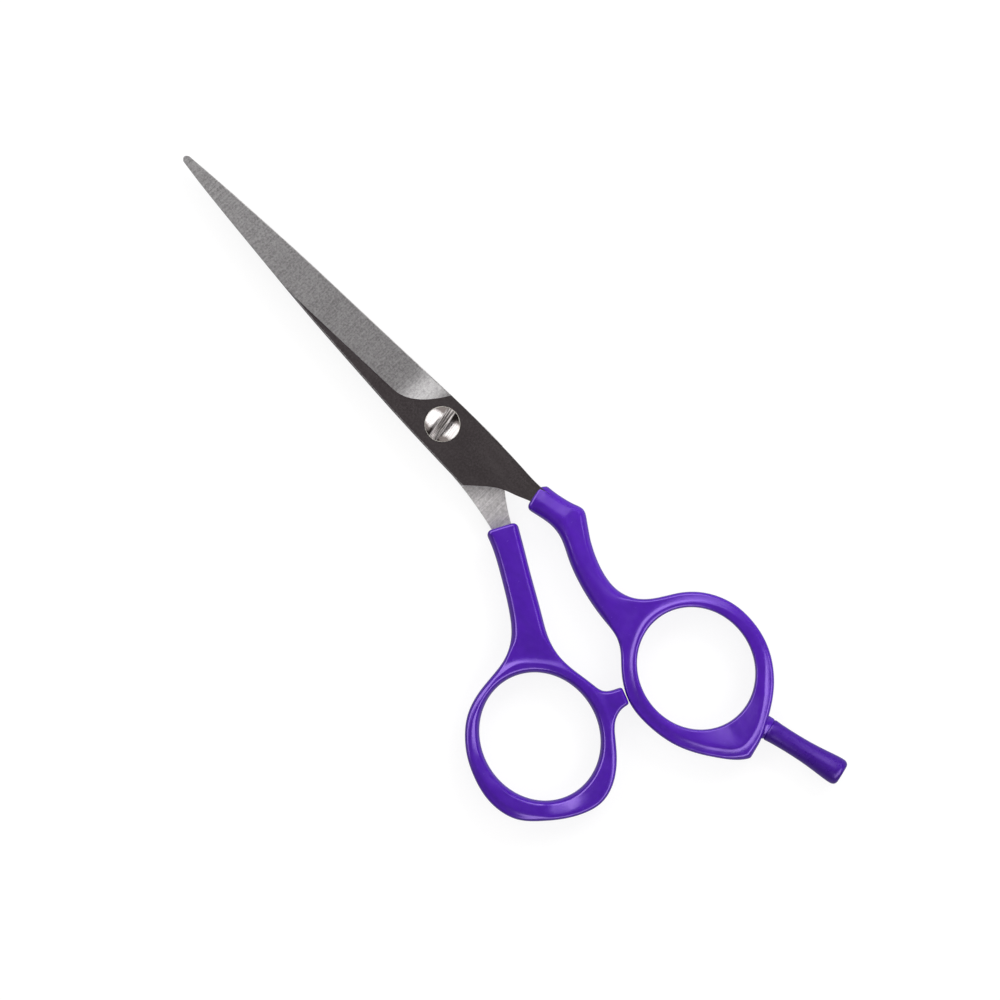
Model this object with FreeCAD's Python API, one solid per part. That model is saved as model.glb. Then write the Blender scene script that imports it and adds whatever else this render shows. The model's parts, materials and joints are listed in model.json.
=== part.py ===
"""Hairdressing scissors with straight blades and moulded plastic handles, in millimetres.

The pair is drawn closed, about its pivot: the pivot axis is x = 0, y = 0, the blades point along +Y, and
z = 0 is the plane in which the two blades slide on each other. The last step moves every piece so that
the origin is the middle of the footprint, on the surface that the closed scissors lie on.

The finger half has the upper blade, the oval finger ring and the little-finger rest.
The thumb half has the lower blade, the thumb ring and the stop that meets the finger ring.
"""

import FreeCAD
import Part

import math
import os

from FreeCAD import Vector

# Where the pivot ends up, seen from the middle of the footprint
PIVOT = Vector(13.0, 14.8, 3.0)

# Blades
BLADE_THICKNESS = 2.4
HALF_GAP = 0.05             # from the sliding plane to each inner face
TIP_Y = 68.7
EDGE_LAND = 0.1             # thickness left at the cutting edge
BEVEL_WIDTH = 6.35          # from the cutting edge to where the bevel meets the outer face
RUNOUT_Y = 11.0             # where the straight bevel ends and the grinding wheel's run-out begins
RUNOUT_RADIUS = 16.0
EDGE_INSET = 0.14           # how far each cutting edge stops inside the other blade's spine
HEEL_Y = 3.4                # lower end of the cutting edges
HEEL_STEP = 0.25            # how far the ricasso stands out past the cutting edge
HEEL_DROP = 0.5             # length of the small slope between the two
SPINE_ROUND = 0.3
ANCHOR_RADIUS = 0.75        # hole in each tang that the plastic fills

# Hollow grind of the inner faces
HOLLOW_START_Y = 8.5
HOLLOW_END_Y = 63.0
HOLLOW_DEPTH = 0.16
HOLLOW_TIP_DEPTH = 0.05
HOLLOW_LAND = 0.6           # flat land left beside the hollow

# Pivot screw and its washer
HEAD_RADIUS = 3.2
HEAD_RIM = 0.4
HEAD_DOME = 0.85            # height of the dome above the rim
SLOT_WIDTH = 0.9
SLOT_DEPTH = 0.8
SLOT_ANGLE = 11.0           # degrees from the X axis
SHANK_RADIUS = 1.8
SHANK_SEAT = 0.5            # depth of the shank's seat in the lower blade
THREAD_RADIUS = 1.5
THREAD_PITCH = 0.5
THREAD_DEPTH = 0.22
THREAD_END_INSET = 0.15     # from the lower blade's outer face to the screw's end
CLEARANCE = 0.05
RECESS_RADIUS = 3.4
RECESS_DEPTH = 0.55
WASHER_OUTER_RADIUS = 3.3
WASHER_INNER_RADIUS = 1.95
WASHER_THICKNESS = 0.4

# Handles
HANDLE_HALF = 3.0           # half the handles' thickness
HANDLE_ROUND = 0.9          # rounding of the long handle edges
COLLAR_ROUND = 1.0          # rounding of the collars' corners, seen from above
SHARP_ROUND = 0.4           # rounding of the heel and of the stop's corners

# Finger hole, an ellipse
FINGER_HOLE = Vector(2.4, -65.0, 0)
FINGER_HOLE_LONG = 11.6
FINGER_HOLE_SHORT = 10.6
FINGER_HOLE_TILT = 80.0     # degrees from the X axis to the long axis

# Thumb hole, an ellipse
THUMB_HOLE = Vector(-27.1, -54.0, 0)
THUMB_HOLE_LONG = 12.1
THUMB_HOLE_SHORT = 10.9
THUMB_HOLE_TILT = 75.0

# Little-finger rest, a flared peg on a threaded stud
REST_SEAT = Vector(4.26, -82.45, 0)
REST_ANGLE = -75.6          # degrees from the X axis
REST_LENGTH = 15.8
REST_END_RADIUS = 2.58
REST_END_ROUND = 0.6
REST_END_BAND = 2.2         # length of the straight taper at the flared end
BOSS_RADIUS = 2.15
BOSS_DEPTH = 3.0
STUD_RADIUS = 1.25
STUD_PITCH = 0.5
STUD_THREAD_DEPTH = 0.2
STUD_IN_RING = 4.0
STUD_IN_REST = 6.0

# The two long outlines of the closed pair, from the ricasso to the tip.
# The upper blade's spine is the left one and the lower blade's spine is the right one.
LEFT_SPINE = ((-5.16, 0.0), (-4.88, 10.0), (-4.44, 20.0), (-3.94, 30.0),
              (-3.26, 40.0), (-2.46, 50.0), (-1.62, 60.0), (-0.72, 68.1))
RIGHT_SPINE = ((5.02, 0.0), (4.5, 10.0), (3.98, 20.0), (3.5, 30.0),
               (2.98, 40.0), (2.28, 50.0), (1.5, 60.0), (0.72, 68.1))

TOP = Vector(0, 0, 1)
REACH = 60.0                # how far the cutting tools reach past what they cut
TINY = 0.01                 # lengths below this count as nothing


# ---------------------------------------------------------------- drawing

def stretch(*pairs):
    """A smooth edge through plan points, or a straight one where there are only two."""
    through = [Vector(x, y, 0) for x, y in pairs]
    if len(through) == 2:
        return Part.LineSegment(*through).toShape()
    curve = Part.BSplineCurve()
    curve.interpolate(through)
    return curve.toShape()


def prism(edges, low, high):
    """The solid inside closed plan edges, from height low to height high."""
    face = Part.Face(Part.Wire(edges))
    face.translate(TOP * low)
    return face.extrude(TOP * (high - low))


def oval(centre, long_radius, short_radius, tilt):
    """An upright elliptical solid that goes right through the handles."""
    ring = Part.Ellipse(Vector(0, 0, 0), long_radius, short_radius).toShape()
    ring.rotate(Vector(0, 0, 0), TOP, tilt)
    ring.translate(centre)
    return prism([ring], -2 * HANDLE_HALF, 2 * HANDLE_HALF)


def turned(profile, centre, axis, side):
    """The solid that a closed profile makes about an axis. Its points are (along the axis, radius)."""
    outline = [centre + axis * along + side * radius for along, radius in profile]
    face = Part.Face(Part.makePolygon(outline + outline[:1]))
    return face.revolve(centre, axis, 360)


def thread(start, length, radius, depth, pitch):
    """Profile points of a V thread from start along its axis."""
    points = [(start, radius)]
    for turn in range(int(length / pitch)):
        along = start + turn * pitch
        points.append((along + pitch / 2, radius - depth))
        points.append((along + pitch, radius))
    return points


def corner_edges(solid, corners):
    """The upright edges of a prism that stand on the given plan points."""
    found = []
    for edge in solid.Edges:
        foot = edge.Vertexes[0].Point
        near = any(math.hypot(foot.x - x, foot.y - y) < TINY for x, y in corners)
        if near and edge.BoundBox.ZLength > HANDLE_HALF:
            found.append(edge)
    return found


def rounded(solid, collar, sharp):
    """A handle with its corners rounded in plan, and then its long edges rounded all round."""
    solid = solid.makeFillet(COLLAR_ROUND, corner_edges(solid, collar))
    solid = solid.makeFillet(SHARP_ROUND, corner_edges(solid, sharp))
    flat = [e for e in solid.Edges if e.BoundBox.ZLength < TINY]
    return solid.makeFillet(HANDLE_ROUND, flat)


# ---------------------------------------------------------------- blades
# Each blade is drawn as an upper one: spine on the left, cutting edge on the right, inner face down.
# The lower blade is an upper one turned over about the Y axis.

def mirrored(pairs):
    return tuple((-x, y) for x, y in pairs)


def cutting_edge(other_spine):
    """The cutting edge from heel to tip, just inside the other blade's spine."""
    heel = (other_spine[0][0] - HEEL_STEP - EDGE_INSET, HEEL_Y)
    inside = [(x - EDGE_INSET, y) for x, y in other_spine[1:-1]]
    return (heel, *inside, other_spine[-1])


def bevel_cutter(edge):
    """What grinding takes off the outer face: a slanted prism that ends in a wheel's run-out."""
    rise = BLADE_THICKNESS - EDGE_LAND
    slope = Vector(-BEVEL_WIDTH, 0, rise)
    foot_z = HALF_GAP + EDGE_LAND
    # The edge's line is carried on past the heel and past the tip, and closed to the right of the blade.
    before = (edge[0][0] + 0.9, -20.0)
    beyond = (edge[-1][0] - 1.0, edge[-1][1] + 10.0)
    clear = 16.0
    outline = [
        stretch(before, *edge, beyond),
        stretch(beyond, (clear, beyond[1])),
        stretch((clear, beyond[1]), (clear, before[1])),
        stretch((clear, before[1]), before),
    ]
    face = Part.Face(Part.Wire(outline))
    face.translate(TOP * foot_z - slope / 2)
    slanted = face.extrude(slope * 2)

    along = Vector(slope).normalize()
    normal = Vector(rise, 0, BEVEL_WIDTH).normalize()
    foot = Vector(edge[1][0], RUNOUT_Y, foot_z)
    wheel = Part.makeCylinder(RUNOUT_RADIUS, 2 * REACH,
                              foot + normal * RUNOUT_RADIUS - along * REACH, along)
    ahead = Part.makeBox(2 * REACH, 2 * REACH, 2 * REACH, Vector(-REACH, RUNOUT_Y, -REACH))
    return slanted.common(ahead.fuse(wheel))


def hollow_cutter(spine, edge):
    """The shallow hollow of the inner face, a circular segment that fades towards the tip."""
    def section(y, left, right, depth):
        a = Vector(left, y, 0)
        b = Vector(right, y, 0)
        top = Vector((left + right) / 2, y, HALF_GAP + depth)
        bow = Part.Arc(a, top, b).toShape()
        return Part.Wire([bow, Part.LineSegment(b, a).toShape()])

    near = section(HOLLOW_START_Y, spine[1][0] + HOLLOW_LAND, edge[1][0] - HOLLOW_LAND, HOLLOW_DEPTH)
    far = section(HOLLOW_END_Y, spine[-2][0] + HOLLOW_LAND, edge[-2][0] - HOLLOW_LAND, HOLLOW_TIP_DEPTH)
    return Part.makeLoft([near, far], True, True)


def ground_blade(spine, edge, shoulder, tang):
    """A ground blade: tang is its right side from the ricasso down, shoulder leads up to the spine."""
    ricasso = (edge[0][0] + HEEL_STEP, HEEL_Y - HEEL_DROP)
    tip = ((spine[-1][0] + edge[-1][0]) / 2, TIP_Y)
    outline = [
        stretch(shoulder[-1], *spine),
        stretch(spine[-1], tip, edge[-1]),
        stretch(*reversed(edge)),
        stretch(edge[0], ricasso),
        stretch(ricasso, *tang),
        stretch(tang[-1], shoulder[0]),
        stretch(*shoulder),
    ]
    low = HALF_GAP
    high = low + BLADE_THICKNESS
    blade = prism(outline, low, high)
    long_edge = TIP_Y / 2
    top_edges = [e for e in blade.Edges if e.BoundBox.ZMin > high - TINY]
    spine_edges = [e for e in top_edges if e.BoundBox.YLength > long_edge and e.CenterOfMass.x < 0]
    blade = blade.makeFillet(SPINE_ROUND, spine_edges)
    return blade.cut(bevel_cutter(edge)).cut(hollow_cutter(spine, edge))


def anchored(blade, x, y):
    """The blade with a hole in its tang for the plastic to flow through."""
    return blade.cut(Part.makeCylinder(ANCHOR_RADIUS, 2 * REACH, Vector(x, y, -REACH)))


def finger_blade():
    shoulder = ((1.2, -34.4), (2.6, -30.0), (2.7, -26.0), (1.75, -21.4), (0.65, -18.9),
                (-0.4, -16.3), (-2.6, -13.4), (-5.25, -10.5))
    tang = ((5.12, -8.0), (5.06, -15.0), (5.0, -21.0), (5.5, -26.5), (4.7, -30.8), (2.9, -34.6))
    blade = ground_blade(LEFT_SPINE, cutting_edge(RIGHT_SPINE), shoulder, tang)
    outer_z = HALF_GAP + BLADE_THICKNESS
    bore = Part.makeCylinder(SHANK_RADIUS + CLEARANCE, 2 * REACH, Vector(0, 0, -REACH))
    recess = Part.makeCylinder(RECESS_RADIUS, REACH, Vector(0, 0, outer_z - RECESS_DEPTH))
    return anchored(blade.cut(bore).cut(recess), 4.1, -28.0)


def thumb_blade():
    shoulder = ((10.9, -35.5), (8.9, -32.0), (6.0, -26.5), (3.3, -21.4), (1.9, -19.1),
                (0.4, -17.0), (-2.4, -13.7), (-5.2, -10.6))
    tang = ((5.25, -8.0), (5.7, -13.0), (6.5, -18.0), (7.1, -20.8), (9.6, -26.5), (13.0, -34.4))
    spine = mirrored(RIGHT_SPINE)
    blade = ground_blade(spine, cutting_edge(mirrored(LEFT_SPINE)), shoulder, tang)
    blade = anchored(blade, 8.4, -27.4)
    blade.rotate(Vector(0, 0, 0), Vector(0, 1, 0), 180)
    return blade.cut(screw_hole())


# ---------------------------------------------------------------- pivot

def head_seat_z():
    """Height of the screw head's underside."""
    return HALF_GAP + BLADE_THICKNESS - RECESS_DEPTH + WASHER_THICKNESS + CLEARANCE / 2


def shank_profile(growth):
    """The shank and the thread below the head, grown by a clearance for the hole they run in."""
    seat_z = -HALF_GAP - SHANK_SEAT - growth
    end_z = -HALF_GAP - BLADE_THICKNESS + THREAD_END_INSET
    length = seat_z - end_z
    points = thread(end_z, length, THREAD_RADIUS + growth, THREAD_DEPTH, THREAD_PITCH)
    top_of_thread = points[-1][0]
    points = [(end_z, 0.0)] + points
    if top_of_thread < seat_z - TINY:
        points.append((seat_z, THREAD_RADIUS + growth))
    points.append((seat_z, SHANK_RADIUS + growth))
    return points


def screw_hole():
    """The threaded hole in the lower blade, open on both faces."""
    profile = shank_profile(CLEARANCE)
    profile.append((BLADE_THICKNESS, SHANK_RADIUS + CLEARANCE))
    profile.append((BLADE_THICKNESS, 0.0))
    hole = turned(profile, Vector(0, 0, 0), TOP, Vector(1, 0, 0))
    end_z = profile[0][0]
    through = Part.makeCylinder(THREAD_RADIUS + CLEARANCE, REACH, Vector(0, 0, end_z - REACH))
    return hole.fuse(through)


def pivot_screw():
    seat_z = head_seat_z()
    rim_z = seat_z + HEAD_RIM
    profile = shank_profile(0.0)
    profile.append((seat_z, SHANK_RADIUS))
    profile.append((seat_z, 0.0))
    screw = turned(profile, Vector(0, 0, 0), TOP, Vector(1, 0, 0))

    dome_radius = (HEAD_RADIUS ** 2 + HEAD_DOME ** 2) / (2 * HEAD_DOME)
    ball = Part.makeSphere(dome_radius, Vector(0, 0, rim_z + HEAD_DOME - dome_radius))
    head = Part.makeCylinder(HEAD_RADIUS, HEAD_RIM + HEAD_DOME, Vector(0, 0, seat_z)).common(ball)
    slot = Part.makeBox(2 * REACH, SLOT_WIDTH, REACH,
                        Vector(-REACH, -SLOT_WIDTH / 2, rim_z + HEAD_DOME - SLOT_DEPTH))
    slot.rotate(Vector(0, 0, 0), TOP, SLOT_ANGLE)
    return screw.fuse(head).cut(slot).removeSplitter()


def friction_washer():
    low = HALF_GAP + BLADE_THICKNESS - RECESS_DEPTH
    disc = Part.makeCylinder(WASHER_OUTER_RADIUS, WASHER_THICKNESS, Vector(0, 0, low))
    return disc.cut(Part.makeCylinder(WASHER_INNER_RADIUS, 2 * REACH, Vector(0, 0, -REACH)))


# ---------------------------------------------------------------- little-finger rest

def rest_axis():
    angle = math.radians(REST_ANGLE)
    return Vector(math.cos(angle), math.sin(angle), 0)


def across_rest():
    axis = rest_axis()
    return Vector(-axis.y, axis.x, 0)


def finger_rest_stud():
    """The threaded stud between the finger ring and the rest."""
    length = STUD_IN_RING + STUD_IN_REST
    threaded = thread(-STUD_IN_RING, length, STUD_RADIUS, STUD_THREAD_DEPTH, STUD_PITCH)
    profile = [(-STUD_IN_RING, 0.0)] + threaded + [(STUD_IN_REST, 0.0)]
    return turned(profile, REST_SEAT, rest_axis(), across_rest())


def finger_rest():
    """A peg that is waisted near its root and flares to a flat end with a rounded rim."""
    axis = rest_axis()
    side = across_rest()

    def place(along, radius):
        return REST_SEAT + axis * along + side * radius

    curve = Part.BSplineCurve()
    waist = ((0.0, 2.12), (1.5, 2.02), (5.0, 1.95), (8.0, 2.02), (11.0, 2.24),
             (REST_LENGTH - REST_END_BAND, 2.5))
    curve.interpolate([place(*point) for point in waist])
    corner = REST_END_ROUND * (1 - math.sqrt(0.5))
    rim = place(REST_LENGTH - REST_END_ROUND, REST_END_RADIUS)
    middle = place(REST_LENGTH - corner, REST_END_RADIUS - corner)
    end = place(REST_LENGTH, REST_END_RADIUS - REST_END_ROUND)
    edges = [
        curve.toShape(),
        Part.LineSegment(place(*waist[-1]), rim).toShape(),
        Part.Arc(rim, middle, end).toShape(),
        Part.LineSegment(end, place(REST_LENGTH, 0)).toShape(),
        Part.LineSegment(place(REST_LENGTH, 0), place(0, 0)).toShape(),
        Part.LineSegment(place(0, 0), place(*waist[0])).toShape(),
    ]
    return Part.Face(Part.Wire(edges)).revolve(REST_SEAT, axis, 360)


# ---------------------------------------------------------------- handles

def finger_handle_blank():
    """The finger handle before the blade and the stud are set in it."""
    collar_left = (0.35, -21.9)
    collar_right = (5.95, -20.4)
    heel = (-1.9, -83.9)
    outline = [
        stretch(collar_left, collar_right),
        stretch(collar_right, (6.3, -24.0), (7.3, -27.6), (7.8, -29.5), (7.0, -31.1), (5.0, -34.1),
                (3.1, -38.0), (2.1, -41.5), (2.0, -44.5), (3.4, -48.0), (6.6, -50.8), (9.6, -52.6),
                (12.4, -55.0), (14.5, -58.1), (15.7, -61.5), (16.0, -65.0), (15.6, -68.5),
                (14.4, -72.0), (12.4, -75.2), (9.7, -78.0), (6.3, -80.4), (2.0, -82.7), heel),
        stretch(heel, (-3.0, -83.2), (-6.1, -79.8), (-8.6, -76.0), (-10.3, -72.2), (-11.1, -68.6),
                (-11.35, -65.0), (-10.95, -61.4), (-9.55, -58.1), (-7.4, -55.2), (-5.4, -52.9),
                (-4.2, -50.6), (-3.7, -47.0), (-3.1, -42.5), (-2.0, -38.0), (-0.5, -34.0),
                (1.1, -30.4), (1.5, -28.0), (1.2, -25.5), collar_left),
    ]
    ring = prism(outline, -HANDLE_HALF, HANDLE_HALF)
    ring = ring.cut(oval(FINGER_HOLE, FINGER_HOLE_LONG, FINGER_HOLE_SHORT, FINGER_HOLE_TILT))
    ring = rounded(ring, (collar_left, collar_right), (heel,))
    boss = Part.makeCylinder(BOSS_RADIUS, BOSS_DEPTH, REST_SEAT - rest_axis() * BOSS_DEPTH, rest_axis())
    return ring.fuse(boss)


def thumb_handle_blank():
    """The thumb handle with its stop, before the blade is set in it."""
    collar_left = (-8.1, -19.7)
    collar_right = (-2.6, -22.5)
    stop_top = (-9.85, -57.9)
    stop_bottom = (-11.04, -61.2)
    outline = [
        stretch(collar_left, collar_right),
        stretch(collar_right, (-4.5, -26.0), (-6.8, -30.0), (-9.0, -34.0), (-11.2, -38.0),
                (-13.3, -42.0), (-14.2, -45.5), (-14.0, -50.0), (-13.4, -53.8), (-12.8, -56.1),
                (-11.4, -57.2), stop_top),
        stretch(stop_top, stop_bottom),
        stretch(stop_bottom, (-13.0, -60.9), (-15.0, -61.6), (-17.5, -64.2), (-20.0, -67.1),
                (-23.3, -69.6), (-27.3, -70.7), (-31.4, -69.7), (-34.9, -67.7), (-38.0, -65.2),
                (-40.7, -62.2), (-42.0, -58.5), (-42.0, -54.5), (-41.0, -50.8), (-39.4, -47.4),
                (-37.1, -44.4), (-34.2, -42.0), (-30.8, -40.6), (-26.5, -39.9), (-22.0, -39.2),
                (-18.3, -37.2), (-15.4, -33.8), (-11.9, -28.0), (-9.3, -23.0), collar_left),
    ]
    ring = prism(outline, -HANDLE_HALF, HANDLE_HALF)
    ring = ring.cut(oval(THUMB_HOLE, THUMB_HOLE_LONG, THUMB_HOLE_SHORT, THUMB_HOLE_TILT))
    return rounded(ring, (collar_left, collar_right), (stop_top, stop_bottom))


# ---------------------------------------------------------------- assembly

def pieces():
    """Every piece of the closed pair, by name, in its place about the pivot."""
    upper = finger_blade()
    lower = thumb_blade()
    stud = finger_rest_stud()
    return {
        "finger_blade": upper,
        "thumb_blade": lower,
        "finger_handle": finger_handle_blank().cut(upper).cut(stud),
        "thumb_handle": thumb_handle_blank().cut(lower),
        "finger_rest": finger_rest().cut(stud),
        "finger_rest_stud": stud,
        "pivot_screw": pivot_screw(),
        "friction_washer": friction_washer(),
    }


def only_solid(shape):
    """The one solid of a piece, without the compound that a cut leaves round it."""
    assert len(shape.Solids) == 1 and shape.isValid()
    return shape.Solids[0]


os.makedirs("parts", exist_ok=True)
for name, shape in pieces().items():
    solid = only_solid(shape)
    solid.translate(PIVOT)
    solid.exportStep(f"parts/{name}.step")
    box = solid.optimalBoundingBox(False, False)
    print(f"{name:18} {solid.Volume:8.1f} mm3  x {box.XMin:7.2f} {box.XMax:7.2f}"
          f"  y {box.YMin:7.2f} {box.YMax:7.2f}  z {box.ZMin:5.2f} {box.ZMax:5.2f}")
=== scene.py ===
"""Looks of the hairdressing scissors: moulded purple handles, ground steel blades and a chromed screw.

The CAD pieces of steel and nylon keep their shapes and get materials. The two handles and the little-finger
rest are modelled again here, inside the same outlines, with the ridges, dished bands and soft edges of the
real mouldings. Shapes are worked out in millimetres about the pivot and end up in metres in the row frame.
"""

import json
import math

import bmesh
import bpy
import numpy as np
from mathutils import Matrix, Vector
from mathutils.geometry import delaunay_2d_cdt


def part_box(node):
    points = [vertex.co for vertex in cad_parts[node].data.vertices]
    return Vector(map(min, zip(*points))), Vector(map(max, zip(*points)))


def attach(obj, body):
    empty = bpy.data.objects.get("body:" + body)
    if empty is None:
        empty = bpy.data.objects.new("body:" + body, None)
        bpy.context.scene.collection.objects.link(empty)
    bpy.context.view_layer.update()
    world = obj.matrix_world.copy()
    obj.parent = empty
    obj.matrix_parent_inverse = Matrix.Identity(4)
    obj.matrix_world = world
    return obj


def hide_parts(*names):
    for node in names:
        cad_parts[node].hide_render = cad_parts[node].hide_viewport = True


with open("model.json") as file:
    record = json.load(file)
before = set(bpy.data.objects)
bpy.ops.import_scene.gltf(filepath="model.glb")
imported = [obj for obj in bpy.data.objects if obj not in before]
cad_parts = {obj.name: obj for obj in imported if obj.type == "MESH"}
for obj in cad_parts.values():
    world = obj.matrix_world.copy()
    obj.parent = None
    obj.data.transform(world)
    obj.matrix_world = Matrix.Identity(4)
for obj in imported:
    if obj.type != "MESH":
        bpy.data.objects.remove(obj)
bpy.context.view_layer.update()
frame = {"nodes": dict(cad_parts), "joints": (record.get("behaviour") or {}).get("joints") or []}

MM = 0.001
PIVOT = np.array(frame["joints"][0]["pos_m"]) / MM
HANDLE_HALF = (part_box("finger_handle")[1].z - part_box("finger_handle")[0].z) / MM / 2

# Meshing of the handles
FINE = 0.12                 # spacing of the worked-out outlines
ROW_SPACING = 0.3           # spacing of mesh points along an outline
GRID = 0.42                 # spacing of mesh points elsewhere
EDGE_ROWS = 6               # rows of points over a rounded edge
FLAT_ROW = 0.12             # how far past a rounding lies one more row, which keeps the flat beside it flat
ROW_SHARE = 0.97            # share of its distance from an outline that a point in a row has to keep
CREST_ROWS = (-0.4, -0.2, 0.0, 0.2, 0.4)    # distances of the rows along a sharp line from it
CREST_MARGIN = 0.2          # least distance of those rows from the roundings
GRID_MARGIN = 0.3           # least distance of the grid's points from the roundings
CREST_SPACE = 0.55          # least distance of the grid's points from a sharp line
LEAST_LOOP = 20             # upright edges in the smallest wall outline that counts
SAME_PLACE = 1e-7           # in metres
AT_ONCE = 800               # places measured in one go

# Heights over the middle plane at which nothing but upright walls is cut
WALL_CUTS = {"finger_handle": -1.6, "thumb_handle": 1.0}

# Edges of the mouldings: how far in from the wall a rounding reaches, and how deep it goes
SHANK_EDGE = (1.1, 2.0)
RING_EDGE = (0.5, 1.0)
COLLAR_EDGE = (0.45, 0.45)
HOLE_EDGES = {"finger_handle": (0.35, 1.2), "thumb_handle": (0.85, 2.0)}
LIP = 0.4                   # least height of the wall above the middle plane
RING_SIZE = (17.0, 20.0)    # distance from a ring's centre where its edge turns into the shank's
COLLAR_WIDTH = 0.7          # how far from a collar's end its edge gives way to the shank's
PARTING_LINE = 0.025        # how far the mould's parting line stands out of the wall
PARTING_HALF = 0.07         # half the height of that line on the wall
INSET = 0.005               # how far the parting line stays inside the walls of the CAD
CROWN = 0.14                # how far the top sinks from the middle of a wide part to its edge
CROWN_REACH = 2.6           # how far that reaches in from the edge

# The ends of the handles that the blades come out of
COLLARS = {
    "finger_handle": ((0.35, -21.9), (5.95, -20.4)),
    "thumb_handle": ((-8.1, -19.7), (-2.6, -22.5)),
}

# The sharp line round each ring, inside which the band round the hole is dished. Each row holds an angle
# in degrees and a radius about the centre, how far the band sinks from the line to the hole, and the
# slope just outside the line.
FINGER_CENTRE = (2.4, -65.0)
FINGER_RIDGE = ((0, 12.45, 0.2, 0.65), (30, 12.3, 0.25, 0.8), (60, 12.4, 0.3, 0.75), (90, 12.65, 0.3, 0.85),
                (120, 11.95, 0.2, 0.9), (150, 11.6, 0.1, 0.85), (180, 11.85, 0.2, 0.65),
                (210, 12.65, 0.2, 0.65), (225, 13.65, 0.2, 0.8), (240, 15.05, 0.45, 0.75),
                (255, 16.7, 0.75, 0.6), (270, 15.7, 0.75, 0.55), (285, 14.15, 0.6, 0.6),
                (300, 13.15, 0.2, 0.75), (330, 12.65, 0.2, 0.6), (360, 12.45, 0.2, 0.65))
THUMB_CENTRE = (-27.3, -54.5)
THUMB_RIDGE = ((0, 13.25, 0.4, 0.4), (30, 13.7, 0.3, 0.4), (60, 14.55, 0.3, 0.75), (75, 14.3, 0.3, 0.8),
               (90, 13.6, 0.4, 0.75), (120, 13.2, 0.8, 0.5), (150, 13.1, 0.8, 0.4),
               (180, 13.25, 0.3, 0.8), (205, 14.0, 0.2, 0.7), (228, 14.4, 0.2, 0.8),
               (236, 14.4, 0.7, 0.2), (250, 14.5, 1.0, 0.0), (270, 15.1, 0.5, 0.0),
               (285, 14.7, 0.4, 0.3), (300, 13.65, 0.45, 0.7), (315, 12.9, 0.4, 0.7),
               (330, 12.95, 0.4, 0.4), (360, 13.25, 0.4, 0.4))
OUTER_FALL_REACH = 0.6      # how quickly the slope outside a sharp line levels out
OUTER_FALL_FADE = 3.5       # how far outside it the surface comes back up
CREST = 0.25                # softness of the sharp lines

# The roof-shaped top of the finger handle's shank
ROOF_LINE = ((2.4, -19.0), (2.4, -22.0), (3.15, -26.0), (3.75, -28.0), (3.1, -30.0), (1.6, -33.0),
             (0.6, -36.0), (0.0, -38.5), (-0.6, -42.0), (-0.9, -47.0))
ROOF_LEFT = 0.34            # slope of each side
ROOF_RIGHT = 0.17
ROOF_FADE = (-37.0, -51.0)  # from where to where the roof flattens out, along Y


# ---------------------------------------------------------------- outlines

class Outline:
    """A closed plan line with evenly spaced points, running anticlockwise."""

    def __init__(self, points):
        points = np.asarray(points, float)
        after = np.roll(points, -1, 0)
        area = np.sum(points[:, 0] * after[:, 1] - points[:, 1] * after[:, 0]) / 2
        self.points = points if area > 0 else points[::-1]

    def resampled(self, spacing):
        """The same line with points that far apart."""
        closed = np.vstack([self.points, self.points[:1]])
        along = np.concatenate([[0], np.cumsum(np.linalg.norm(np.diff(closed, axis=0), axis=1))])
        count = max(8, round(along[-1] / spacing))
        wanted = np.arange(count) * along[-1] / count
        points = np.column_stack([np.interp(wanted, along, closed[:, k]) for k in (0, 1)])
        return Outline(points)

    def blurred(self, width):
        """The line with its small corners smoothed away, over a width in mm."""
        spacing = np.linalg.norm(self.points[1] - self.points[0])
        reach = math.ceil(3 * width / spacing)
        shifts = np.arange(-reach, reach + 1)
        weights = np.exp(-(shifts * spacing / width) ** 2 / 2)
        total = sum(w * np.roll(self.points, int(s), 0) for s, w in zip(shifts, weights))
        return Outline(total / weights.sum())

    def inward(self):
        """Unit vectors that point into the outline, one at each point."""
        tangent = np.roll(self.points, -1, 0) - np.roll(self.points, 1, 0)
        tangent /= np.linalg.norm(tangent, axis=1)[:, None]
        return np.column_stack([-tangent[:, 1], tangent[:, 0]])

    def depth_of(self, places):
        """How far inside the outline each place is, negative outside, and its nearest point's index."""
        start = self.points
        run = np.roll(start, -1, 0) - start
        length = np.linalg.norm(run, axis=1)
        depth = np.empty(len(places))
        index = np.empty(len(places), int)
        for first in range(0, len(places), AT_ONCE):
            some = places[first:first + AT_ONCE]
            offset = some[:, None, :] - start[None]
            share = np.clip(np.einsum("psk,sk->ps", offset, run) / length ** 2, 0, 1)
            gap = offset - share[..., None] * run[None]
            distance = np.linalg.norm(gap, axis=2)
            nearest = distance.argmin(1)
            rows = np.arange(len(some))
            from_start = offset[rows, nearest]
            side = run[nearest, 0] * from_start[:, 1] - run[nearest, 1] * from_start[:, 0]
            depth[first:first + AT_ONCE] = np.where(side >= 0, 1, -1) * distance[rows, nearest]
            index[first:first + AT_ONCE] = nearest
        return depth, index


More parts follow.
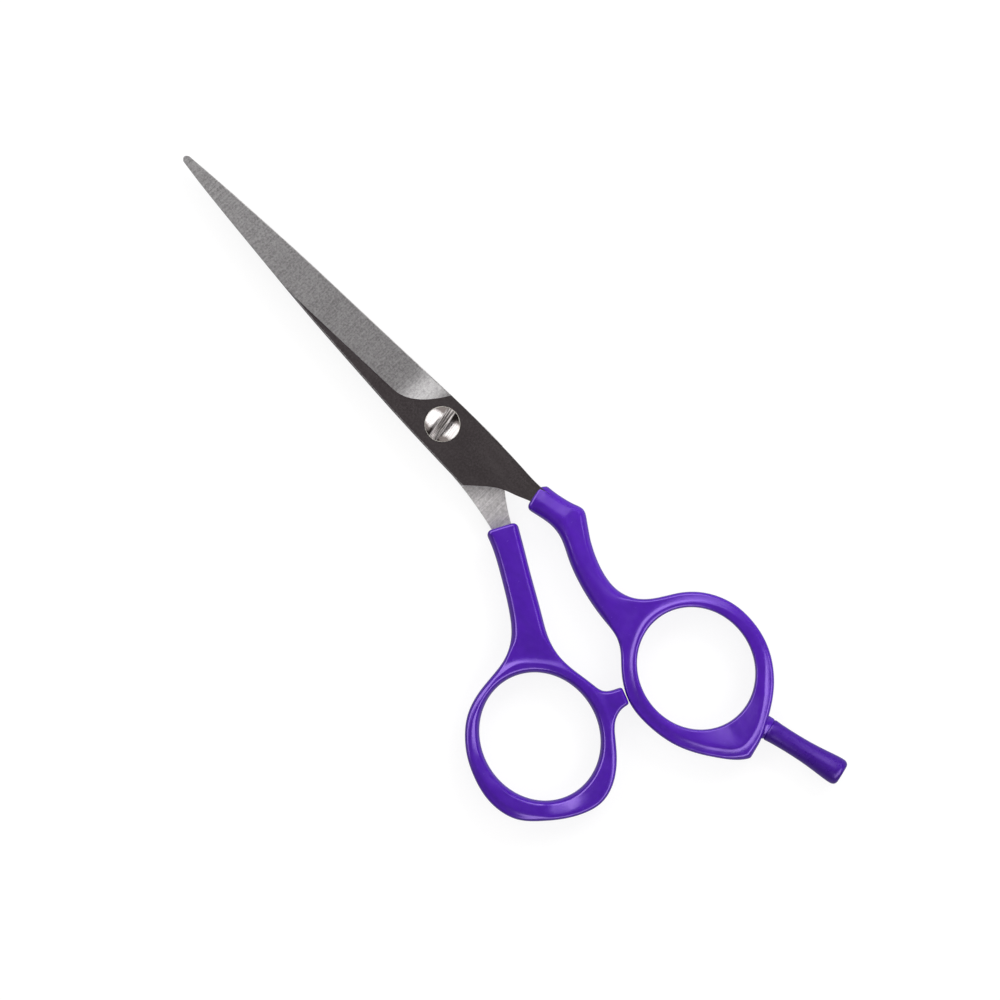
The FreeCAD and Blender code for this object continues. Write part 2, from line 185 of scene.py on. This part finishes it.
def curved(points, sharp=30.0):
    """A closed line through points, curved between them but straight into and out of a sharp corner."""
    points = np.asarray(points, float)
    ahead = np.roll(points, -1, 0) - points
    behind = np.roll(ahead, 1, 0)
    smooth = ahead + behind
    turn = np.degrees(np.arctan2(behind[:, 0] * ahead[:, 1] - behind[:, 1] * ahead[:, 0],
                                 np.sum(behind * ahead, 1)))
    corner = np.abs(turn) > sharp
    leave = np.where(corner[:, None], ahead, smooth)
    arrive = np.where(corner[:, None], behind, smooth)
    line = []
    for i in range(len(points)):
        j = (i + 1) % len(points)
        length = np.linalg.norm(ahead[i])
        tangent_a = leave[i] / np.linalg.norm(leave[i]) * length
        tangent_b = arrive[j] / np.linalg.norm(arrive[j]) * length
        t = (np.arange(math.ceil(length / FINE)) / math.ceil(length / FINE))[:, None]
        line.append((2 * t**3 - 3 * t**2 + 1) * points[i] + (t**3 - 2 * t**2 + t) * tangent_a
                    + (3 * t**2 - 2 * t**3) * points[j] + (t**3 - t**2) * tangent_b)
    return Outline(np.vstack(line)).resampled(FINE)


def polar(centre, rows):
    """A smooth closed line through rows that start with an angle and a radius about a centre."""
    angles = np.radians([row[0] for row in rows[:-1]])
    radii = np.array([row[1] for row in rows[:-1]])[:, None]
    points = np.array(centre) + radii * np.column_stack([np.cos(angles), np.sin(angles)])
    return curved(points, sharp=60.0).blurred(0.5).resampled(FINE)


def wall_outlines(node):
    """The outer outline and the hole of a handle, cut from its upright walls."""
    mesh = bmesh.new()
    mesh.from_mesh(frame["nodes"][node].data)
    bmesh.ops.remove_doubles(mesh, verts=mesh.verts, dist=SAME_PLACE)
    everything = mesh.verts[:] + mesh.edges[:] + mesh.faces[:]
    plane = (0, 0, (PIVOT[2] + WALL_CUTS[node]) * MM)
    cut = bmesh.ops.bisect_plane(mesh, geom=everything, plane_co=plane, plane_no=(0, 0, 1))["geom_cut"]
    beside = {}
    for edge in cut:
        if isinstance(edge, bmesh.types.BMEdge):
            a, b = edge.verts
            beside.setdefault(a, []).append(b)
            beside.setdefault(b, []).append(a)
    loops = []
    seen = set()
    for start in beside:
        loop = []
        step = [start]
        while step:
            seen.add(step[0])
            loop.append(step[0])
            step = [v for v in beside[step[0]] if v not in seen][:1]
        upright = [v for v in loop if any((e.other_vert(v).co.xy - v.co.xy).length < SAME_PLACE
                                          for e in v.link_edges)]
        if len(upright) > LEAST_LOOP:
            loops.append(np.array([v.co.xy for v in upright]) / MM - PIVOT[:2])
    mesh.free()
    loops.sort(key=lambda points: -np.ptp(points, 0).sum())
    return [curved(points).blurred(0.2).resampled(FINE) for points in loops[:2]]


# ---------------------------------------------------------------- surface of a handle

def rounding(distance, reach, depth):
    """How far an elliptical edge rounding sinks at a distance from the wall."""
    u = np.clip(1 - distance / reach, 0, 1)
    return depth * (1 - np.sqrt(np.clip(1 - u * u, 0, 1)))


def softened(value, softness):
    """value where it is well above 0, nothing where it is well below, and a smooth bend between."""
    return (value + np.sqrt(value ** 2 + softness ** 2)) / 2


def fade(value, start, end):
    """1 up to start and 0 past end, smoothly."""
    t = np.clip((value - start) / (end - start), 0, 1)
    return 1 - t * t * (3 - 2 * t)


class Handle:
    """The plan lines of one handle, and the height of its top over the middle plane."""

    def __init__(self, node, centre, ridge):
        self.centre = np.array(centre)
        wall, hole_wall = wall_outlines(node)
        self.parting = Outline(wall.points + wall.inward() * INSET)
        self.parting_hole = Outline(hole_wall.points - hole_wall.inward() * INSET)
        self.outer = Outline(self.parting.points + self.parting.inward() * PARTING_LINE)
        self.hole = Outline(self.parting_hole.points - self.parting_hole.inward() * PARTING_LINE)
        self.ridge = polar(centre, ridge)
        self.angles, _, self.dish, self.fall = zip(*ridge)
        self.reach, self.depth = self.outer_edges(*COLLARS[node]).T
        self.hole_reach, self.hole_depth = HOLE_EDGES[node]
        self.roofed = node == "finger_handle"

    def outer_edges(self, left, right):
        """Reach and depth of the rounding at each point of the outline, whose collar runs left to right."""
        across = np.array(right) - left
        offset = self.outer.points - left
        share = np.clip(offset @ across / (across @ across), 0, 1)
        away = np.linalg.norm(offset - share[:, None] * across, axis=1)
        collar = np.exp(-(away / COLLAR_WIDTH) ** 2)
        ring = fade(np.linalg.norm(self.outer.points - self.centre, axis=1), *RING_SIZE)
        edges = np.outer(ring, RING_EDGE) + np.outer(1 - ring, SHANK_EDGE)
        return edges + collar[:, None] * (np.array(COLLAR_EDGE) - edges)

    def clear(self, places, margin):
        """Which plan places lie past both roundings by a margin."""
        inside, index = self.outer.depth_of(places)
        from_hole = -self.hole.depth_of(places)[0]
        return (inside > self.reach[index] + margin) & (from_hole > self.hole_reach + margin)

    def height(self, places):
        """Half the thickness of the handle at plan places."""
        inside, index = self.outer.depth_of(places)
        inside = np.maximum(inside, 0)
        from_hole = np.maximum(-self.hole.depth_of(places)[0], 0)
        drop = CROWN * np.clip(1 - inside / CROWN_REACH, 0, 1) ** 2
        from_ridge = self.ridge.depth_of(places)[0]
        past_ridge = softened(from_ridge, CREST)
        width = past_ridge + from_hole
        share = past_ridge / np.maximum(width, 0.01)
        around = np.degrees(np.arctan2(*(places - self.centre).T[::-1])) % 360
        drop = drop + np.interp(around, self.angles, self.dish) * share
        outside_ridge = softened(-from_ridge, CREST)
        fall = OUTER_FALL_REACH * (1 - np.exp(-outside_ridge / OUTER_FALL_REACH))
        fall = fall * np.interp(around, self.angles, self.fall)
        drop = drop + fall * np.exp(-(outside_ridge / OUTER_FALL_FADE) ** 2)
        if self.roofed:
            drop = drop + roof_drop(places)
        height = HANDLE_HALF - drop
        depth = np.minimum(self.depth[index], height - LIP)
        hole_depth = np.minimum(self.hole_depth, height - LIP)
        height = height - rounding(from_hole, self.hole_reach, hole_depth)
        return height - rounding(inside, self.reach[index], depth)


def roof_drop(places):
    """How far the two slopes of the finger shank sink from their common ridge."""
    line = np.array(ROOF_LINE)
    ridge_x = np.interp(-places[:, 1], -line[:, 1], line[:, 0])
    x = places[:, 0] - ridge_x
    slope = ROOF_LEFT * softened(-x, CREST * 2) + ROOF_RIGHT * softened(x, CREST * 2)
    return slope * fade(-places[:, 1], -ROOF_FADE[0], -ROOF_FADE[1])


def rows_along(outline, offsets, side):
    """Mesh points in rows along an outline, at growing distances inside it, or outside where side is -1."""
    coarse = outline.resampled(ROW_SPACING)
    rows = []
    for offset in offsets:
        offset = np.broadcast_to(offset, len(coarse.points))
        row = coarse.points + coarse.inward() * side * offset[:, None]
        distance = outline.depth_of(row)[0] * side
        rows.append(row[distance > ROW_SHARE * offset])
    return rows


def crest_points(handle):
    """Mesh points in rows on both sides of a handle's sharp line."""
    line = handle.ridge.resampled(ROW_SPACING)
    rows = np.vstack([line.points + line.inward() * offset for offset in CREST_ROWS])
    return rows[handle.clear(rows, CREST_MARGIN)]


def grid_points(handle):
    """Mesh points of a triangular grid over the rest of a handle."""
    rim = handle.outer.resampled(ROW_SPACING).points
    low = rim.min(0)
    high = rim.max(0)
    columns = np.arange(low[0], high[0], GRID)
    lines = np.arange(low[1], high[1], GRID * math.sqrt(0.75))
    grid = np.array([(x + row % 2 * GRID / 2, y) for row, y in enumerate(lines) for x in columns])
    from_ridge = np.abs(handle.ridge.depth_of(grid)[0])
    return grid[handle.clear(grid, GRID_MARGIN) & (from_ridge > CREST_SPACE)]


def loop_edges(loops):
    """The edges round closed loops of points that are numbered one loop after the other."""
    edges = []
    first = 0
    for loop in loops:
        count = len(loop)
        edges += [(first + i, first + (i + 1) % count) for i in range(count)]
        first += count
    return edges


def handle_mesh(handle):
    """Vertices and faces of a handle: a top of triangles, the same below, and walls between."""
    rim = handle.outer.resampled(ROW_SPACING).points
    hole_rim = handle.hole.resampled(ROW_SPACING).points
    reach = handle.reach[handle.outer.depth_of(rim)[1]]
    shares = 1 - np.cos(np.radians(np.linspace(0, 90, EDGE_ROWS + 1)))[1:]
    rows = rows_along(handle.outer, [*np.outer(shares, reach), reach + FLAT_ROW], 1)
    rows += rows_along(handle.hole, [*shares * handle.hole_reach, handle.hole_reach + FLAT_ROW], -1)
    places = np.vstack([rim, hole_rim, *rows, crest_points(handle), grid_points(handle)])

    points, _, triangles, origin, _, _ = delaunay_2d_cdt(
        [Vector(p) for p in places], loop_edges((rim, hole_rim)), [], 1, 1e-6)
    points = np.array(points)
    middle = points[np.array(triangles)].mean(1)
    solid = handle.hole.depth_of(middle)[0] < 0
    triangles = [t for t, keep in zip(triangles, solid) if keep]
    found = {source: i for i, sources in enumerate(origin) for source in sources}

    height = handle.height(points)
    count = len(points)
    vertices = [(x, y, z) for (x, y), z in zip(points, height)]
    vertices += [(x, y, -z) for (x, y), z in zip(points, height)]
    faces = [tuple(t) for t in triangles]
    faces += [tuple(count + v for v in reversed(t)) for t in triangles]
    first = 0
    for loop, parting in ((rim, handle.parting), (hole_rim, handle.parting_hole)):
        top = [found[first + i] for i in range(len(loop))]
        below = [count + v for v in top]
        on_parting = parting.points[parting.depth_of(loop)[1]]
        add_wall(vertices, faces, top, below, points[top], on_parting, height[top])
        first += len(loop)
    return np.array(vertices), faces


def add_wall(vertices, faces, top, below, plan, on_parting, height):
    """Adds a wall round a handle or its hole, from its top row of vertices to the row below."""
    half = height / 2
    beside = np.full_like(height, PARTING_HALF)
    levels = ((half, plan), (beside, plan), (beside * 0, on_parting), (-beside, plan), (-half, plan))
    rows = [top]
    for level, places in levels:
        rows.append(list(range(len(vertices), len(vertices) + len(top))))
        vertices += [(x, y, z) for (x, y), z in zip(places, level)]
    rows.append(below)
    for upper, lower in zip(rows, rows[1:]):
        for i in range(len(top)):
            j = (i + 1) % len(top)
            faces.append((upper[i], lower[i], lower[j], upper[j]))


def new_object(name, vertices, faces):
    """A mesh object from vertices in mm about the pivot, with its faces turned outwards."""
    mesh = bpy.data.meshes.new(name)
    mesh.from_pydata([Vector((v + PIVOT) * MM) for v in np.asarray(vertices, float)], [], faces)
    tidy = bmesh.new()
    tidy.from_mesh(mesh)
    bmesh.ops.recalc_face_normals(tidy, faces=tidy.faces)
    tidy.to_mesh(mesh)
    tidy.free()
    mesh.shade_smooth()
    made = bpy.data.objects.new(name, mesh)
    bpy.context.scene.collection.objects.link(made)
    return made


# ---------------------------------------------------------------- little-finger rest and its boss

REST_SEAT = np.array((4.26, -82.45, 0.0))
REST_ANGLE = math.radians(-75.6)
REST_SIDES = 72             # points round the rest
# Profiles of the rest and of its boss: distance along the axis from the seat, and radius
REST_PROFILE = ((0.0, 1.96), (0.12, 2.06), (0.35, 2.11), (1.5, 2.02), (3.2, 1.965), (5.0, 1.95),
                (6.5, 1.97), (8.0, 2.02), (9.5, 2.115), (11.0, 2.24), (12.4, 2.385), (13.6, 2.5),
                (14.3, 2.53), (14.75, 2.53), (15.05, 2.48), (15.3, 2.38), (15.5, 2.25), (15.65, 2.1),
                (15.75, 1.92), (15.79, 1.74), (15.79, 1.0), (15.79, 0.0))
BOSS_PROFILE = ((-3.0, 0.0), (-3.0, 2.15), (-0.3, 2.15), (-0.1, 2.08), (0.0, 1.95), (0.0, 0.0))


def turned(profile, seam=0.0):
    """Vertices and faces of a body turned about the rest's axis, with a mould seam along two sides."""
    axis = np.array((math.cos(REST_ANGLE), math.sin(REST_ANGLE), 0.0))
    side = np.array((-axis[1], axis[0], 0.0))
    up = np.array((0.0, 0.0, 1.0))
    angles = np.linspace(0, 2 * math.pi, REST_SIDES, endpoint=False)
    vertices = []
    rows = []
    for along, radius in profile:
        centre = REST_SEAT + axis * along
        if radius == 0:
            rows.append([len(vertices)] * REST_SIDES)
            vertices.append(centre)
            continue
        rows.append(list(range(len(vertices), len(vertices) + REST_SIDES)))
        for i, angle in enumerate(angles):
            on_seam = i % (REST_SIDES // 2) == 0
            reach = radius - (0 if on_seam else seam)
            vertices.append(centre + side * (math.cos(angle) * reach) + up * (math.sin(angle) * reach))
    faces = []
    for near, far in zip(rows, rows[1:]):
        for i in range(REST_SIDES):
            j = (i + 1) % REST_SIDES
            corners = list(dict.fromkeys((near[i], near[j], far[j], far[i])))
            faces.append(tuple(corners))
    return np.array(vertices), faces


def unite(body, part):
    """Merges the second object into the first."""
    modifier = body.modifiers.new("union", "BOOLEAN")
    modifier.operation = "UNION"
    modifier.solver = "EXACT"
    modifier.object = part
    graph = bpy.context.evaluated_depsgraph_get()
    merged = bpy.data.meshes.new_from_object(body.evaluated_get(graph))
    body.modifiers.clear()
    body.data = merged
    bpy.data.objects.remove(part)
    merged.shade_smooth()


# ---------------------------------------------------------------- materials

class Graph:
    """The node tree of one material, with short ways to add and join nodes."""

    def __init__(self, name):
        self.material = bpy.data.materials.new(name)
        self.material.use_nodes = True
        self.tree = self.material.node_tree
        self.shader = self.tree.nodes["Principled BSDF"]

    def feed(self, socket, value):
        if isinstance(value, bpy.types.NodeSocket):
            self.tree.links.new(value, socket)
        else:
            socket.default_value = value

    def node(self, kind, inputs, output=0, **settings):
        """A new node of that kind, fed by inputs, of which one output is returned."""
        made = self.tree.nodes.new(kind)
        for key, value in settings.items():
            setattr(made, key, value)
        for key, value in inputs.items():
            self.feed(made.inputs[key], value)
        return made.outputs[output]

    def set(self, **sockets):
        """Feeds the shader. Underscores in names stand for spaces."""
        for key, value in sockets.items():
            self.feed(self.shader.inputs[key.replace("_", " ")], value)

    def place(self):
        return self.node("ShaderNodeTexCoord", {}, "Object")

    def noise(self, scale, stretch=(1, 1, 1), detail=4, rough=0.55, place=None):
        """Noise with that many features per metre, stretched by a factor along each axis."""
        spots = self.node("ShaderNodeMapping", {"Vector": place or self.place(), "Scale": stretch})
        return self.node("ShaderNodeTexNoise", {"Vector": spots, "Scale": scale, "Detail": detail,
                                                "Roughness": rough})

    def math(self, operation, a, b=0.0, clamp=False):
        return self.node("ShaderNodeMath", {0: a, 1: b}, operation=operation, use_clamp=clamp)

    def span(self, value, low, high, to_low, to_high):
        """value taken from one range to another, and kept inside it."""
        return self.node("ShaderNodeMapRange", {"Value": value, "From Min": low, "From Max": high,
                                                "To Min": to_low, "To Max": to_high})

    def blend(self, share, first, second):
        """A colour between two, by share."""
        made = self.tree.nodes.new("ShaderNodeMix")
        made.data_type = "RGBA"
        self.feed(made.inputs[0], share)
        self.feed(made.inputs[6], first)
        self.feed(made.inputs[7], second)
        return made.outputs[2]

    def mixed(self, share, first, second):
        """A number between two, by share."""
        return self.node("ShaderNodeMix", {0: share, 2: first, 3: second}, data_type="FLOAT")

    def bump(self, height, distance, strength=1.0, under=None):
        inputs = {"Height": height, "Distance": distance, "Strength": strength}
        if under is not None:
            inputs["Normal"] = under
        return self.node("ShaderNodeBump", inputs)


def grey(level, tint=(1.0, 1.0, 1.0)):
    return (*(level * t for t in tint), 1.0)


def purple_plastic(name, depth, gloss, specular):
    """Moulded plastic: faint flow clouding, a slightly uneven gloss and hairline handling marks."""
    g = Graph(name)
    flow = g.mixed(0.4, g.noise(60, (1, 0.4, 1), detail=3), g.noise(450, (1, 0.5, 1), detail=3, rough=0.7))
    colour = g.blend(g.span(flow, 0.35, 0.65, 0.0, 1.0), grey(depth, (0.042, 0.004, 0.26)),
                     grey(depth, (0.062, 0.006, 0.35)))
    hairs = g.noise(500, (1, 14, 1), detail=2, rough=0.7)
    marks = g.span(hairs, 0.62, 0.72, 0.0, 1.0)
    roughness = g.span(g.noise(900, detail=3), 0.3, 0.7, gloss, gloss + 0.07)
    roughness = g.math("ADD", roughness, g.math("MULTIPLY", marks, 0.03))
    peel = g.bump(g.noise(1400, detail=1), 0.00002, 0.35)
    g.set(Base_Color=colour, Roughness=roughness, Normal=g.bump(marks, 0.000004, 0.4, peel))
    g.set(IOR=1.85, Specular_IOR_Level=specular, Specular_Tint=(0.6, 0.4, 1.0, 1))
    return g.material


def blade_steel(name, outer):
    """Ground steel. outer is the sign of Z on the blade's outer side: its flats are polished there, the
    bevel is ground across the blade, and the inner side is ground coarser and duller."""
    g = Graph(name)
    normal = g.node("ShaderNodeTexCoord", {}, "Normal")
    split = g.node("ShaderNodeSeparateXYZ", {"Vector": normal}, "Z")
    facing = g.math("MULTIPLY", split, outer)
    flat = g.span(facing, 0.965, 0.985, 0.0, 1.0)
    inner = g.span(facing, -0.6, -0.4, 1.0, 0.0)

    grain = g.noise(2600, detail=2, rough=0.7)
    across = g.noise(260, (0.45, 16, 1), detail=5, rough=0.65)
    across_fine = g.noise(900, (0.2, 9, 1), detail=3, rough=0.6)
    along = g.noise(420, (9, 0.35, 1), detail=4, rough=0.6)
    clouds = g.noise(110, (1, 0.7, 1), detail=3)

    bevel_lines = g.mixed(0.5, g.mixed(0.45, across, across_fine), grain)
    bevel = g.blend(g.span(bevel_lines, 0.4, 0.6, 0.0, 1.0), grey(0.25, (1.0, 0.98, 0.985)),
                    grey(0.455, (1.0, 0.985, 0.99)))
    mottled = g.mixed(0.6, clouds, grain)
    polished = g.blend(g.span(mottled, 0.4, 0.6, 0.0, 1.0), grey(0.31, (1.0, 0.94, 0.955)),
                       grey(0.43, (1.0, 0.95, 0.96)))
    coarse_lines = g.mixed(0.4, across, grain)
    coarse = g.blend(g.span(coarse_lines, 0.38, 0.62, 0.0, 1.0), grey(0.42, (1.0, 0.975, 0.975)),
                     grey(0.76, (1.0, 0.98, 0.98)))
    colour = g.blend(inner, g.blend(flat, bevel, polished), coarse)

    bevel_gloss = g.span(bevel_lines, 0.3, 0.7, 0.34, 0.46)
    flat_gloss = g.span(along, 0.3, 0.7, 0.13, 0.2)
    coarse_gloss = g.span(across, 0.3, 0.7, 0.42, 0.58)
    gloss = g.mixed(inner, g.mixed(flat, bevel_gloss, flat_gloss), coarse_gloss)

    depth = g.mixed(inner, g.mixed(flat, bevel_lines, g.math("MULTIPLY", along, 0.15)), across)
    g.set(Base_Color=colour, Roughness=gloss, Normal=g.bump(depth, 0.00003, 0.35), Metallic=1.0)
    return g.material


SLOT_ANGLE = 11             # of the screw's slot, in degrees from the X axis


def screw_chrome():
    """Polished chrome plate over faint turning rings, scraped round the slot, with a painted dark
    reflection past the slot's two ends.
    """
    g = Graph("screw_chrome")
    centre = tuple(-c * MM for c in PIVOT)
    local = g.node("ShaderNodeVectorMath", {0: g.place(), 1: centre}, operation="ADD")
    spin = g.node("ShaderNodeVectorRotate", {"Vector": local, "Angle": math.radians(-SLOT_ANGLE)})
    streaks = g.noise(900, (0.15, 5, 1), detail=3, rough=0.65, place=spin)
    along_slot = g.math("ABSOLUTE", g.node("ShaderNodeSeparateXYZ", {"Vector": spin}, "X"))
    across_slot = g.math("ABSOLUTE", g.node("ShaderNodeSeparateXYZ", {"Vector": spin}, "Y"))
    scraped = g.span(across_slot, 0.6 * MM, 1.0 * MM, 1.0, 0.0)
    # Painted dark reflection: beyond the two ends of the slot the base colour is painted nearly black,
    # standing in for the dark room that the dome mirrors there.
    uneven = g.math("ADD", along_slot, g.math("MULTIPLY", g.noise(700, detail=3), 1.2 * MM))
    beside_slot = g.math("SUBTRACT", 1.0, scraped)
    painted_dark_reflection = g.math("MULTIPLY", g.span(uneven, 1.7 * MM, 2.4 * MM, 0.0, 1.0), beside_slot)
    flat = g.node("ShaderNodeVectorMath", {0: local, 1: (1, 1, 0)}, operation="MULTIPLY")
    radius = g.node("ShaderNodeVectorMath", {0: flat}, "Value", operation="LENGTH")
    rings = g.node("ShaderNodeTexNoise", {"W": radius, "Scale": 5000, "Detail": 2},
                   noise_dimensions="1D")
    strong = g.span(streaks, 0.42, 0.58, 0.0, 1.0)
    polish = g.blend(strong, grey(0.38, (1.0, 0.94, 0.92)), grey(0.58, (1.0, 0.97, 0.97)))
    scrape = g.blend(strong, grey(0.1, (1.0, 0.9, 0.85)), grey(0.95, (1.0, 0.95, 0.94)))
    colour = g.blend(scraped, polish, scrape)
    # Here the painted dark reflection is laid over the chrome colour.
    colour = g.blend(g.math("MULTIPLY", painted_dark_reflection, 0.96), colour, grey(0.08, (1.0, 0.85, 0.8)))
    gloss = g.math("ADD", g.span(streaks, 0.3, 0.7, 0.1, 0.2), g.span(rings, 0.3, 0.7, 0.0, 0.06))
    gloss = g.math("ADD", gloss, g.math("MULTIPLY", scraped, 0.38))
    relief = g.math("ADD", g.math("MULTIPLY", streaks, 0.6), g.math("MULTIPLY", rings, 0.4))
    g.set(Base_Color=colour, Roughness=gloss, Normal=g.bump(relief, 0.00001, 0.3), Metallic=1.0)
    return g.material


def stud_steel():
    """Bright turned steel with fine tool marks."""
    g = Graph("stud_steel")
    marks = g.noise(2500, (1, 6, 1), detail=3)
    colour = g.blend(g.span(marks, 0.3, 0.7, 0.0, 1.0), grey(0.42), grey(0.6))
    g.set(Base_Color=colour, Roughness=g.span(marks, 0.3, 0.7, 0.25, 0.4),
          Normal=g.bump(marks, 0.00001, 0.4), Metallic=1.0)
    return g.material


def washer_nylon():
    """Natural nylon, slightly cloudy."""
    g = Graph("washer_nylon")
    cloud = g.noise(700, detail=3)
    colour = g.blend(g.span(cloud, 0.3, 0.7, 0.0, 1.0), (0.68, 0.66, 0.6, 1), (0.8, 0.78, 0.72, 1))
    g.set(Base_Color=colour, Roughness=g.span(cloud, 0.3, 0.7, 0.4, 0.55),
          Normal=g.bump(cloud, 0.00001, 0.3))
    return g.material


def wear(made, material):
    """Gives an object that one material."""
    made.data.materials.clear()
    made.data.materials.append(material)


def finish_node(node, material):
    """Assigns a material to every slot of a CAD node's object, and leaves its mesh alone."""
    for socket in frame["nodes"][node].material_slots:
        socket.link = "OBJECT"
        socket.material = material


# ---------------------------------------------------------------- studio

def add_stage():
    """A white floor, and a pale backdrop that only the camera sees."""
    g = Graph("floor_white")
    g.set(Base_Color=grey(0.12), Roughness=0.9, Emission_Color=grey(1.0), Emission_Strength=0.86)
    bpy.ops.mesh.primitive_circle_add(vertices=96, radius=4.0, fill_type="NGON")
    floor = bpy.context.object
    floor.name = "floor"
    wear(floor, g.material)

    sky = Graph("backdrop_white")
    sky.set(Base_Color=grey(0.0), Roughness=1.0, Emission_Color=grey(1.0), Emission_Strength=0.97)
    bpy.ops.mesh.primitive_uv_sphere_add(segments=64, ring_count=32, radius=4.2)
    backdrop = bpy.context.object
    backdrop.name = "backdrop"
    wear(backdrop, sky.material)
    floor.visible_glossy = False
    backdrop.visible_diffuse = False
    backdrop.visible_glossy = False
    backdrop.visible_shadow = False
    backdrop.visible_transmission = False


def softbox(name, azimuth, tilt, distance, width, height, radiance):
    """A soft area light that faces the pivot from an azimuth, tilted away from overhead."""
    a, t = math.radians(azimuth), math.radians(tilt)
    direction = Vector((math.cos(a) * math.sin(t), math.sin(a) * math.sin(t), math.cos(t)))
    data = bpy.data.lights.new(name, "AREA")
    data.shape = "RECTANGLE"
    data.size = width
    data.size_y = height
    data.energy = radiance * math.pi * width * height
    light = bpy.data.objects.new(name, data)
    light.location = Vector(PIVOT * MM) + direction * distance
    light.rotation_euler = direction.to_track_quat("Z", "Y").to_euler()
    light.visible_camera = False
    bpy.context.scene.collection.objects.link(light)
    return light


def add_lights():
    """Two wide boxes across the blades, a small one on the finger ring's side, and a fill without gloss."""
    softbox("softbox_far", azimuth=90, tilt=40, distance=0.9, width=2.0, height=0.56, radiance=2.55)
    softbox("softbox_near", azimuth=270, tilt=45, distance=0.9, width=1.6, height=0.55, radiance=2.4)
    softbox("softbox_side", azimuth=26, tilt=26, distance=0.9, width=0.26, height=0.42, radiance=1.25)
    fill = softbox("fill", azimuth=8, tilt=62, distance=1.1, width=0.8, height=0.8, radiance=8.0)
    fill.visible_glossy = False


def add_room():
    """What smooth surfaces mirror beside the lights: a dim room, and paler grey below the horizon."""
    world = bpy.data.worlds.new("dim_room")
    bpy.context.scene.world = world
    world.use_nodes = True
    tree = world.node_tree
    direction = tree.nodes.new("ShaderNodeTexCoord").outputs["Generated"]
    split = tree.nodes.new("ShaderNodeSeparateXYZ")
    share = tree.nodes.new("ShaderNodeMapRange")
    colour = tree.nodes.new("ShaderNodeMix")
    colour.data_type = "RGBA"
    tree.links.new(direction, split.inputs[0])
    tree.links.new(split.outputs["Z"], share.inputs["Value"])
    tree.links.new(share.outputs["Result"], colour.inputs[0])
    tree.links.new(colour.outputs[2], tree.nodes["Background"].inputs["Color"])
    share.inputs["From Min"].default_value = -0.25
    share.inputs["From Max"].default_value = 0.05
    colour.inputs[6].default_value = (0.32, 0.31, 0.32, 1)
    colour.inputs[7].default_value = (0.118, 0.104, 0.107, 1)


CAMERA_PLACE = (0.01093, -0.00265, 2.0)
CAMERA_TURN = -43.99        # in degrees about Z
SEEN_WIDTH = 0.185          # of the floor, from edge to edge of the picture


def add_camera():
    """Straight down, turned so that the blades point to the upper left."""
    data = bpy.data.cameras.new("camera")
    data.sensor_width = 36
    data.lens = data.sensor_width * CAMERA_PLACE[2] / SEEN_WIDTH
    camera = bpy.data.objects.new("camera", data)
    camera.location = CAMERA_PLACE
    camera.rotation_euler = (0, 0, math.radians(CAMERA_TURN))
    bpy.context.scene.collection.objects.link(camera)
    bpy.context.scene.camera = camera
    bpy.context.scene.view_settings.view_transform = "Standard"


# ---------------------------------------------------------------- the scene

def main():
    glossy = purple_plastic("glossy_plastic", 0.87, 0.19, 1.0)
    matt = purple_plastic("matt_plastic", 0.58, 0.25, 0.6)
    finger = Handle("finger_handle", FINGER_CENTRE, FINGER_RIDGE)
    thumb = Handle("thumb_handle", THUMB_CENTRE, THUMB_RIDGE)

    finger_shell = new_object("finger_handle_shell", *handle_mesh(finger))
    unite(finger_shell, new_object("boss", *turned(BOSS_PROFILE)))
    thumb_shell = new_object("thumb_handle_shell", *handle_mesh(thumb))
    rest = new_object("finger_rest_peg", *turned(REST_PROFILE, seam=0.015))
    for made, body, node, plastic in ((finger_shell, "finger_half", "finger_handle", glossy),
                                      (thumb_shell, "thumb_half", "thumb_handle", glossy),
                                      (rest, "finger_half", "finger_rest", matt)):
        wear(made, plastic)
        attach(made, body)
        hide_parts(node)

    for node, slot, material in (("finger_blade", "blade_steel", blade_steel("finger_blade_steel", 1.0)),
                                 ("thumb_blade", "blade_steel", blade_steel("thumb_blade_steel", -1.0)),
                                 ("pivot_screw", "screw_chrome", screw_chrome()),
                                 ("finger_rest_stud", "stud_steel", stud_steel()),
                                 ("friction_washer", "washer_nylon", washer_nylon())):
        finish_node(node, material)

    add_stage()
    add_lights()
    add_room()
    add_camera()


main()
